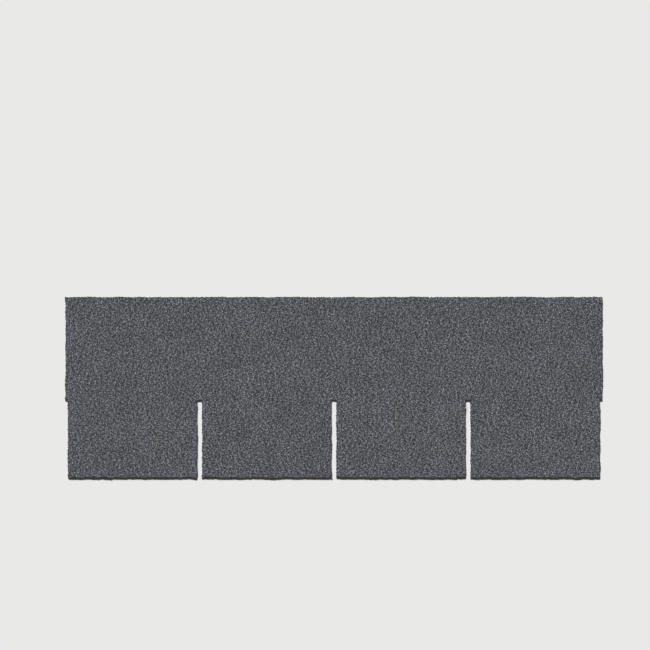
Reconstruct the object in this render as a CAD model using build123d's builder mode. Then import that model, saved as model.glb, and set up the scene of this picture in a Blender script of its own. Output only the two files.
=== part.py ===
"""Four-tab asphalt strip shingle: one die-cut sheet, lying flat with its granule face up.

X runs along the strip, Y from the butt edge of its tabs to its head edge, and Z out of the granule
face. The origin is the middle of the strip's outline, on its underside.
"""

import os

from build123d import *

# Driving dimensions, in millimetres
strip_length = 1000.0
tab_count = 4
exposure = 145.0  # height of a tab, the part of the strip that the weather reaches
head_lap = 46.0  # height of the head beyond a second exposure
slot_width = 9.0  # gap between two tabs, and twice what is cut off the outer side of an end tab
thickness = 3.0  # from the underside to the tips of the granules
slot_corner_radius = 2.0  # left by the cutting die at the closed end of a slot
tab_corner_radius = 1.0  # left by the cutting die at the free corners of the tabs

# Sizes and places that follow from them
strip_height = 2 * exposure + head_lap
tab_pitch = strip_length / tab_count
butt_edge_y = -strip_height / 2
slot_middle_y = butt_edge_y + exposure / 2
widest_slot_round = 0.45 * slot_width  # two rounds have to fit side by side in a slot

os.makedirs("parts", exist_ok=True)

with BuildPart() as shingle_strip:
    with BuildSketch() as outline:
        Rectangle(strip_length, strip_height)
        # One slot on each line between two tabs, and one at each end of the strip. Those two lie
        # half off the strip, and cut half a slot off the outer side of each end tab.
        with Locations((0, slot_middle_y)):
            with GridLocations(tab_pitch, 0, tab_count + 1, 1):
                Rectangle(slot_width, exposure, mode=Mode.SUBTRACT)
        # The row's outermost corners are where the head meets the half slots, and stay sharp
        slot_corners = outline.vertices().group_by(Axis.Y)[1].sort_by(Axis.X)[1:-1]
        fillet(slot_corners, min(slot_corner_radius, widest_slot_round))
        tab_corners = outline.vertices().group_by(Axis.Y)[0]
        fillet(tab_corners, tab_corner_radius)
    extrude(amount=thickness)

shingle_strip.part.label = "shingle_strip"
export_step(shingle_strip.part, "parts/shingle_strip.step")
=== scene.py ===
"""The look of an asphalt strip shingle, built over its CAD frame.

The strip is a sheet of black bitumen with ragged cut edges and a sanded back. Its face is covered
with crushed-stone granules, pressed into the bitumen in a blend of greys. Lengths are in metres.
"""

import math

import bmesh
import bpy
import numpy as np
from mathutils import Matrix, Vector, noise
from mathutils.geometry import delaunay_2d_cdt


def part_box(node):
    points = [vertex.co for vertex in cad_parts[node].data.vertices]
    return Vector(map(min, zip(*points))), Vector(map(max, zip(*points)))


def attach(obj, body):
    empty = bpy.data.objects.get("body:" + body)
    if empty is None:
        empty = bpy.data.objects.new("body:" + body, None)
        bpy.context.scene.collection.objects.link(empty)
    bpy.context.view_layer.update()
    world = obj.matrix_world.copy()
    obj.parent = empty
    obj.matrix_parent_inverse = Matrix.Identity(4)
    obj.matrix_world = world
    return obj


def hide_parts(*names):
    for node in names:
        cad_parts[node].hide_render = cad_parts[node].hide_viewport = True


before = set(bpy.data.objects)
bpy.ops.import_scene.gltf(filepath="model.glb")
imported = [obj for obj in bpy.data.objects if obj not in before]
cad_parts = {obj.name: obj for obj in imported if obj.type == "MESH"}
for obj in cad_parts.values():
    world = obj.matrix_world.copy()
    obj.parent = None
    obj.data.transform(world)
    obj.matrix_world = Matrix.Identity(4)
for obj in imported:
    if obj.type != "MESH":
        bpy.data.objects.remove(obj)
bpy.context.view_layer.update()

MM = 0.001
STRIP = "shingle_strip"
SEED = 31
rng = np.random.default_rng(SEED)
noise.seed_set(SEED)

# Reading the CAD outline
SAME_POINT = 0.01 * MM  # points nearer than this are one
FACES_DOWN = -0.99  # a face looks straight down if its normal is below this in Z

# The sheet
GRANULE_RELIEF = 0.65 * MM  # from the bitumen to the tips of the granules
WANDER, WANDER_REACH = 1.1 * MM, 18 * MM  # how far the sheet strays from its outline in long bends
CHIPS, CHIPS_REACH = 1.3 * MM, 3.0 * MM  # how far the ragged cut edge strays from those bends
EDGE_STEP = 0.8 * MM  # between the points along the cut edge
EDGE_LEVELS = 4  # rings of points, from the bottom of the cut edge to its top
FILL_STEP = 8 * MM  # between the points that fill the flat faces
FILL_MARGIN = FILL_STEP / 3  # from the outline to the nearest of those points
FILL_TOLERANCE = 1e-9  # of the triangulation
INSIDE_ONLY = 1  # asks it for the triangles inside a ring

# The granules
COARSE_GAP, FINE_GAP = 1.9 * MM, 1.25 * MM  # least distance between neighbours, first and last
SCATTER_ROUNDS = 12
GRANULE_FILL = 0.66  # mean radius as a share of that distance
GRANULE_SPREAD = 0.25  # how much a corner's radius differs from the mean, as a share
GRANULE_FLATNESS = 0.5  # height as a share of width
LOWEST_STAND = 0.55  # of the relief, for the granules that are pressed in deepest
LEAST_MARGIN, MOST_MARGIN = 0.1 * MM, 1.0 * MM  # from the ragged edge to the nearest seats
EDGE_BAND = 4 * MM  # beside the true outline, where the ragged edge may run
CELL_FILL = 0.35  # radius of a granule in its cell of the bake map, as a share of the cell
GRANULE_CORNERS = 6  # the ends of three axes: corner 3 is opposite to corner 0, and so on
GRANULE_FACES = np.array([  # one end of each axis, anticlockwise from outside
    (0, 1, 2), (0, 2, 4), (0, 4, 5), (0, 5, 1), (3, 2, 1), (3, 4, 2), (3, 5, 4), (3, 1, 5),
])

# The colours of the granules, as sRGB from 0 to 255
BLEND = {
    "soot": (10, 11, 15),
    "slate": (55, 57, 63),
    "steel": (86, 88, 94),
    "zinc": (108, 110, 116),
    "ash": (128, 130, 136),
    "pearl": (162, 164, 170),
}
# The colours are dealt to five neighbours at a time, as one of these hands and the other in turn
HANDS = [
    ("soot", "slate", "steel", "zinc", "ash"),
    ("pearl", "slate", "steel", "zinc", "ash"),
]
BLEND_BAND = 3 * MM  # height of the rows along which the hands are dealt
BLEND_BLUR = 1.0 * MM  # how far the rows run into one another

# The finish of the granules
PATCHES_PER_METRE = 14.0
PATCH_ENDS = (0.35, 0.65)  # values of the noise where the patches are darkest and lightest
PATCH_TINT = (6, 7, 9)  # how much the red, green and blue of those patches differ from the mean
TONES = (0.75, 1.25)  # brightness of the darkest and the lightest granules of one colour
PORE_SIZE, PORE_DEPTH = 0.6 * MM, 0.12 * MM
GRANULE_ROUGHNESS = (0.55, 0.9)  # at the two ends of the pores' noise
GRANULE_SPECULAR = 0.35

# The finish of the sheet's back, face and edge: the darkest and the lightest colour of the grain,
# its size, its relief and the mean roughness
SHEET_LOOKS = {
    "sanded_back": ((58, 57, 56), (104, 102, 98), 0.5 * MM, 0.1 * MM, 0.85),
    "bitumen_face": ((34, 34, 36), (84, 85, 90), 0.7 * MM, 0.3 * MM, 0.7),
    "cut_edge": ((16, 16, 17), (44, 43, 42), 0.5 * MM, 0.2 * MM, 0.6),
}
GRAIN_ENDS = (0.2, 0.8)  # values of the grain's noise where it is darkest and lightest
GRAIN_STRENGTH = 0.8
GLOSS_PATCH = 2.5  # size of the patches with more or less gloss, in grains
GLOSS_SPREAD = 0.12  # how much their roughness differs from the mean
BITUMEN_SPECULAR = 0.4

# The light and the floor
SUN_ELEVATION, SUN_TURN, SUN_WIDTH = math.radians(27), math.radians(10), math.radians(8)
SKY_SHARE = 0.06  # of the light that falls on the floor
SKY_COLOUR = (255, 255, 255)
FLOOR_COLOUR = (233, 233, 232)
FLOOR_REACH = 60.0  # from the middle to each side

# How the photograph frames the strip, in its pixels, and the lens in millimetres
PHOTO_SIDE = 650
STRIP_LEFT_PX, STRIP_RIGHT_PX = 65.6, 602.4
BUTT_EDGE_PX = 477.5
FOCAL_LENGTH = 100


def linear(colour):
    """An sRGB colour as linear red, green, blue and alpha."""
    parts = [part / 255 for part in colour]
    parts = [part / 12.92 if part <= 0.04045 else ((part + 0.055) / 1.055) ** 2.4 for part in parts]
    return (*parts, 1.0)


def node_outline(name):
    """The outline of a flat CAD node's underside, anticlockwise, as an array of corner points."""
    shape = bmesh.new()
    shape.from_mesh(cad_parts[name].data)
    bmesh.ops.remove_doubles(shape, verts=shape.verts, dist=SAME_POINT)
    underside = [face for face in shape.faces if face.normal.z < FACES_DOWN]
    rim = [
        edge for face in underside for edge in face.edges
        if sum(other in underside for other in edge.link_faces) == 1
    ]
    edge = rim[0]
    corner = edge.verts[0]
    ring = []
    while rim:
        rim.remove(edge)
        corner = edge.other_vert(corner)
        ring.append(corner.co.xy[:])
        edge = next((other for other in corner.link_edges if other in rim), None)
    ring = np.array(ring)
    shape.free()
    after = np.roll(ring, -1, axis=0)
    turns_left = np.sum(ring[:, 0] * after[:, 1] - ring[:, 1] * after[:, 0]) > 0
    return ring if turns_left else ring[::-1]


def divided(ring, step):
    """The ring with points added along its sides, about step apart."""
    sides = zip(ring, np.roll(ring, -1, axis=0))
    return np.concatenate([
        np.linspace(a, b, max(1, round(np.linalg.norm(b - a) / step)), endpoint=False) for a, b in sides
    ])


def strayed(points, most, reach, z=0.0):
    """The points at a height z, each moved at random by up to most along X and Y.

    Points that are much nearer to one another than reach move together.
    """
    moves = [noise.noise_vector(Vector((x, y, z)) / reach).xy for x, y in points]
    return points + most * np.array(moves)


def edge_distance(points, ring):
    """How far inside the ring each point lies, negative outside."""
    nearest = np.full(len(points), np.inf)
    inside = np.zeros(len(points), bool)
    x, y = points.T
    for a, b in zip(ring, np.roll(ring, -1, axis=0)):
        side = b - a
        share = np.clip((points - a) @ side / (side @ side), 0, 1)
        nearest = np.minimum(nearest, np.linalg.norm(points - a - share[:, None] * side, axis=1))
        spans = (a[1] > y) != (b[1] > y)
        if a[1] != b[1]:
            inside ^= spans & (x < a[0] + (y - a[1]) / (b[1] - a[1]) * side[0])
    return np.where(inside, nearest, -nearest)


def new_piece(name, points, faces, materials):
    """A mesh piece that rides on the strip."""
    mesh = bpy.data.meshes.new(name)
    mesh.from_pydata(points, [], faces)
    for material in materials:
        mesh.materials.append(material)
    piece = bpy.data.objects.new(name, mesh)
    bpy.context.scene.collection.objects.link(piece)
    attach(piece, "root")
    return piece


def feed(tree, node, inputs):
    """Links each input of a shader node that is given a socket, and sets each that is given a value."""
    for name, value in inputs.items():
        if isinstance(value, bpy.types.NodeSocket):
            tree.links.new(value, node.inputs[name])
        else:
            node.inputs[name].default_value = value


def shader_node(tree, kind, inputs, **settings):
    """A new shader node with its inputs fed."""
    made = tree.nodes.new("ShaderNode" + kind)
    for setting, value in settings.items():
        setattr(made, setting, value)
    feed(tree, made, inputs)
    return made


def noise_value(tree, **inputs):
    """The value of a noise texture."""
    return shader_node(tree, "TexNoise", inputs).outputs["Fac"]


def spread_value(tree, value, ends):
    """A value from 0 to 1, spread out between two ends."""
    spread = shader_node(tree, "MapRange", {"Value": value, "To Min": ends[0], "To Max": ends[1]})
    return spread.outputs["Result"]


def colour_ramp(tree, value, ends, colours):
    """A colour that runs from one sRGB colour to another as a value runs from end to end."""
    ramp = shader_node(tree, "ValToRGB", {"Fac": value})
    for element, end, colour in zip(ramp.color_ramp.elements, ends, colours):
        element.position = end
        element.color = linear(colour)
    return ramp.outputs["Color"]


def new_material(name):
    """A node material, its node tree, its principled shader and its object coordinates."""
    material = bpy.data.materials.new(name)
    material.use_nodes = True
    tree = material.node_tree
    shader = tree.nodes["Principled BSDF"]
    place = tree.nodes.new("ShaderNodeTexCoord").outputs["Object"]
    return material, tree, shader, place


def granule_material(name, colour):
    """Coated crushed stone: one colour of the blend, which differs by patches and by granules."""
    material, tree, shader, place = new_material(name)
    patches = noise_value(tree, Vector=place, Scale=PATCHES_PER_METRE, Detail=4.0, Roughness=0.7)
    darkest = [part - step for part, step in zip(colour, PATCH_TINT)]
    lightest = [part + step for part, step in zip(colour, PATCH_TINT)]
    tint = colour_ramp(tree, patches, PATCH_ENDS, (darkest, lightest))
    granule = tree.nodes.new("ShaderNodeNewGeometry").outputs["Random Per Island"]
    tone = spread_value(tree, granule, TONES)
    toned = shader_node(tree, "HueSaturation", {"Color": tint, "Value": tone})
    pores = noise_value(tree, Vector=place, Scale=1 / PORE_SIZE, Detail=3.0)
    bump = shader_node(tree, "Bump", {"Height": pores, "Distance": PORE_DEPTH})
    feed(tree, shader, {
        "Base Color": toned.outputs["Color"],
        "Roughness": spread_value(tree, pores, GRANULE_ROUGHNESS),
        "Normal": bump.outputs["Normal"],
        "Specular IOR Level": GRANULE_SPECULAR,
    })
    return material


def grained_material(name, darkest, lightest, grain, relief, roughness):
    """Bitumen with mineral in it, as a raised grain between two colours."""
    material, tree, shader, place = new_material(name)
    cells = shader_node(tree, "TexVoronoi", {"Vector": place, "Scale": 1 / grain}).outputs
    grey = shader_node(tree, "RGBToBW", {"Color": cells["Color"]}).outputs["Val"]
    heights = {"Height": cells["Distance"], "Distance": relief, "Strength": GRAIN_STRENGTH}
    bump = shader_node(tree, "Bump", heights, invert=True)
    gloss = noise_value(tree, Vector=place, Scale=1 / (GLOSS_PATCH * grain), Detail=4.0)
    feed(tree, shader, {
        "Base Color": colour_ramp(tree, grey, GRAIN_ENDS, (darkest, lightest)),
        "Roughness": spread_value(tree, gloss, (roughness - GLOSS_SPREAD, roughness + GLOSS_SPREAD)),
        "Normal": bump.outputs["Normal"],
        "Specular IOR Level": BITUMEN_SPECULAR,
    })
    return material


def fill_points(outline):
    """A grid of points inside the outline and clear of it."""
    low, high = outline.min(axis=0), outline.max(axis=0)
    columns = np.arange(low[0], high[0], FILL_STEP) + FILL_STEP / 2
    rows = np.arange(low[1], high[1], FILL_STEP) + FILL_STEP / 2
    grid = np.stack(np.meshgrid(columns, rows), axis=-1).reshape(-1, 2)
    return grid[edge_distance(grid, outline) > FILL_MARGIN]


def filled(ring, grid):
    """Triangles that fill a ring, as numbers of its own points and then of the grid's."""
    flat = [Vector(point) for point in np.concatenate([ring, grid])]
    rim = [(i, (i + 1) % len(ring)) for i in range(len(ring))]
    found = delaunay_2d_cdt(flat, rim, [], INSIDE_ONLY, FILL_TOLERANCE)
    triangles, sources = found[2:4]
    return np.array([[sources[corner][0] for corner in triangle] for triangle in triangles])


def make_sheet(outline, bitumen_top):
    """The bitumen sheet, from its sanded back to just below the tips of the granules.

    The ragged line along which its edge meets its face is returned.
    """
    levels = np.linspace(0, bitumen_top, EDGE_LEVELS)
    bends = strayed(divided(outline, EDGE_STEP), WANDER, WANDER_REACH)
    rings = [strayed(bends, CHIPS, CHIPS_REACH, z) for z in levels]
    grid = fill_points(outline)

    # The points are the rings, then the grid on the back and then the grid on the face
    layers = [*zip(rings, levels), (grid, levels[0]), (grid, levels[-1])]
    points = np.concatenate([np.column_stack([flat, np.full(len(flat), z)]) for flat, z in layers])
    here = np.arange(EDGE_LEVELS * len(bends)).reshape(EDGE_LEVELS, -1)
    after = np.roll(here, -1, axis=1)
    back_grid, face_grid = np.arange(here.size, len(points)).reshape(2, -1)
    back = np.concatenate([here[0], back_grid])
    face = np.concatenate([here[-1], face_grid])
    sides = np.stack([here[:-1], after[:-1], after[1:], here[1:]], axis=-1)
    # The faces, as numbers of their points, in the order of SHEET_LOOKS
    surfaces = [
        back[filled(rings[0], grid)][:, ::-1],
        face[filled(rings[-1], grid)],
        sides.reshape(-1, 4),
    ]
    sheet = new_piece(
        "bitumen_sheet",
        points,
        [corners for surface in surfaces for corners in surface.tolist()],
        [grained_material(name, *look) for name, look in SHEET_LOOKS.items()],
    )
    look_numbers = np.repeat(range(len(surfaces)), [len(surface) for surface in surfaces])
    sheet.data.polygons.foreach_set("material_index", look_numbers)
    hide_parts(STRIP)
    return rings[-1]


def scatter(low, high, gaps):
    """Random seats, and the gap that each one keeps, found by throwing darts into a grid in rounds.

    Each round lets a dart stick if its gap is clear of every earlier seat, so that coarse granules come
    first and finer ones fill in between. Cells that are thrown at together lie too far apart to meet.
    """
    cell = gaps.min() / math.sqrt(2)
    reach = math.ceil(gaps.max() / cell)
    step = reach + 1
    blocks = np.ceil((high - low) / cell / step).astype(int)
    rows, columns = blocks * step
    seats = np.full((rows + 2 * reach, columns + 2 * reach, 2), np.inf)
    kept_gaps = np.zeros((rows, columns))

    def cells(row, column):
        return seats[row:row + rows:step, column:column + columns:step]

    for gap in gaps:
        for row, column in np.ndindex(step, step):
            corners = np.stack(np.mgrid[row:rows:step, column:columns:step], axis=-1)
            darts = low + (corners + rng.random(corners.shape)) * cell
            here = cells(row + reach, column + reach)
            sticks = np.isinf(here[..., 0])
            for down, across in np.ndindex(2 * reach + 1, 2 * reach + 1):
                near = cells(row + down, column + across)
                sticks &= ((darts - near) ** 2).sum(axis=-1) >= gap ** 2
            here[sticks] = darts[sticks]
            kept_gaps[row::step, column::step][sticks] = gap
    seats = seats[reach:-reach, reach:-reach]
    found = np.isfinite(seats[..., 0])
    return seats[found], kept_gaps[found]


def granule_corners(seats, gaps, bitumen_top):
    """The corners of each granule: the ends of three axes at random, square to one another."""
    count = len(seats)
    axes = np.linalg.qr(rng.normal(size=(count, 3, 3)))[0]
    axes[np.linalg.det(axes) < 0] *= -1
    corners = np.concatenate([axes, -axes], axis=1)
    corners *= rng.uniform(1 - GRANULE_SPREAD, 1 + GRANULE_SPREAD, (count, GRANULE_CORNERS, 1))
    corners *= GRANULE_FILL * gaps[:, None, None]
    corners[..., 2] *= GRANULE_FLATNESS
    stands = GRANULE_RELIEF * gaps / COARSE_GAP * rng.uniform(LOWEST_STAND, 1, count)
    corners[..., 2] += (bitumen_top + stands - corners[..., 2].max(axis=1))[:, None]
    corners[..., :2] += seats[:, None]
    return corners


def blend_colours(seats):
    """The number of a colour of the blend for each seat, dealt out evenly in each neighbourhood."""
    x, y = (seats + rng.normal(0, BLEND_BLUR, seats.shape)).T
    along_bands = np.lexsort([x, np.floor(y / BLEND_BAND)])
    cards = [[list(BLEND).index(name) for name in hand] for hand in HANDS]
    hands = np.tile(cards, (len(seats) // np.size(cards) + 1, 1))
    colours = np.empty(len(seats), int)
    colours[along_bands] = rng.permuted(hands, axis=1).ravel()[:len(seats)]
    return colours


def give_bake_map(piece, count):
    """A map for baking colours: each granule has a cell of its own, with its corners in a ring."""
    columns = math.ceil(math.sqrt(count))
    cells = np.stack(np.divmod(np.arange(count), columns), axis=-1) + 0.5
    turns = np.arange(GRANULE_CORNERS) * math.tau / GRANULE_CORNERS
    ring = CELL_FILL * np.stack([np.cos(turns), np.sin(turns)], axis=-1)
    places = (cells[:, None] + ring) / columns
    layer = piece.data.uv_layers.new(name="OFBake")
    layer.uv.foreach_set("vector", places[:, GRANULE_FACES].ravel().astype(np.float32))


def make_granules(outline, ragged, bitumen_top):
    """The granules, joined into one piece for each colour of the blend."""
    low, high = outline.min(axis=0), outline.max(axis=0)
    seats, gaps = scatter(low - CHIPS, high + CHIPS, np.linspace(COARSE_GAP, FINE_GAP, SCATTER_ROUNDS))
    seats = strayed(seats, WANDER, WANDER_REACH)
    depth = edge_distance(seats, outline)
    near = depth < EDGE_BAND
    depth[near] = edge_distance(seats[near], ragged)
    on_sheet = depth > rng.uniform(LEAST_MARGIN, MOST_MARGIN, len(seats))
    seats, gaps = seats[on_sheet], gaps[on_sheet]
    corners = granule_corners(seats, gaps, bitumen_top)
    colour_of = blend_colours(seats)
    for number, (name, colour) in enumerate(BLEND.items()):
        own = corners[colour_of == number]
        faces = GRANULE_FACES + GRANULE_CORNERS * np.arange(len(own))[:, None, None]
        piece = new_piece(
            "granules_" + name,
            own.reshape(-1, 3),
            faces.reshape(-1, 3),
            [granule_material("granules_" + name, colour)],
        )
        give_bake_map(piece, len(own))


def make_floor():
    """A wide, plain, pale floor."""
    material, tree, shader, _ = new_material("floor")
    feed(tree, shader, {"Base Color": linear(FLOOR_COLOUR), "Roughness": 1.0, "Specular IOR Level": 0.0})
    corners = FLOOR_REACH * np.array([(-1, -1, 0), (1, -1, 0), (1, 1, 0), (-1, 1, 0)])
    mesh = bpy.data.meshes.new("floor")
    mesh.from_pydata(corners, [], [(0, 1, 2, 3)])
    mesh.materials.append(material)
    floor = bpy.data.objects.new("floor", mesh)
    bpy.context.scene.collection.objects.link(floor)


def make_light():
    """A soft sun from beyond the head edge and an even sky, which light the floor with a strength of 1.

    To the camera, the sky has the floor's colour.
    """
    sun = bpy.data.lights.new("key", "SUN")
    sun.energy = (1 - SKY_SHARE) * math.pi / math.sin(SUN_ELEVATION)
    sun.angle = SUN_WIDTH
    key = bpy.data.objects.new("key", sun)
    key.rotation_euler = (SUN_ELEVATION - math.pi / 2, 0, SUN_TURN)
    bpy.context.scene.collection.objects.link(key)
    world = bpy.data.worlds.new("sky")
    world.use_nodes = True
    tree = world.node_tree
    lit = tree.nodes["Background"]
    feed(tree, lit, {"Color": linear(SKY_COLOUR), "Strength": SKY_SHARE})
    seen = shader_node(tree, "Background", {"Color": linear(FLOOR_COLOUR), "Strength": 1.0})
    to_camera = tree.nodes.new("ShaderNodeLightPath").outputs["Is Camera Ray"]
    # The two shaders that are mixed go in by number, because both inputs have the same name
    mixed = shader_node(tree, "MixShader", {
        "Fac": to_camera, 1: lit.outputs["Background"], 2: seen.outputs["Background"],
    })
    feed(tree, tree.nodes["World Output"], {"Surface": mixed.outputs["Shader"]})
    bpy.context.scene.world = world


def make_camera(low, high):
    """Straight above the strip, which lies in the picture as the photograph frames it."""
    metres_per_pixel = (high.x - low.x) / (STRIP_RIGHT_PX - STRIP_LEFT_PX)
    x = low.x + (PHOTO_SIDE / 2 - STRIP_LEFT_PX) * metres_per_pixel
    y = low.y + (BUTT_EDGE_PX - PHOTO_SIDE / 2) * metres_per_pixel
    lens = bpy.data.cameras.new("camera")
    lens.lens = FOCAL_LENGTH
    camera = bpy.data.objects.new("camera", lens)
    camera.location = (x, y, PHOTO_SIDE * metres_per_pixel * FOCAL_LENGTH / lens.sensor_width)
    bpy.context.scene.collection.objects.link(camera)
    bpy.context.scene.camera = camera


low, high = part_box(STRIP)
outline = node_outline(STRIP)
bitumen_top = high.z - GRANULE_RELIEF
ragged = make_sheet(outline, bitumen_top)
make_granules(outline, ragged, bitumen_top)
make_floor()
make_light()
make_camera(low, high)

bpy.context.scene.view_settings.view_transform = "Standard"
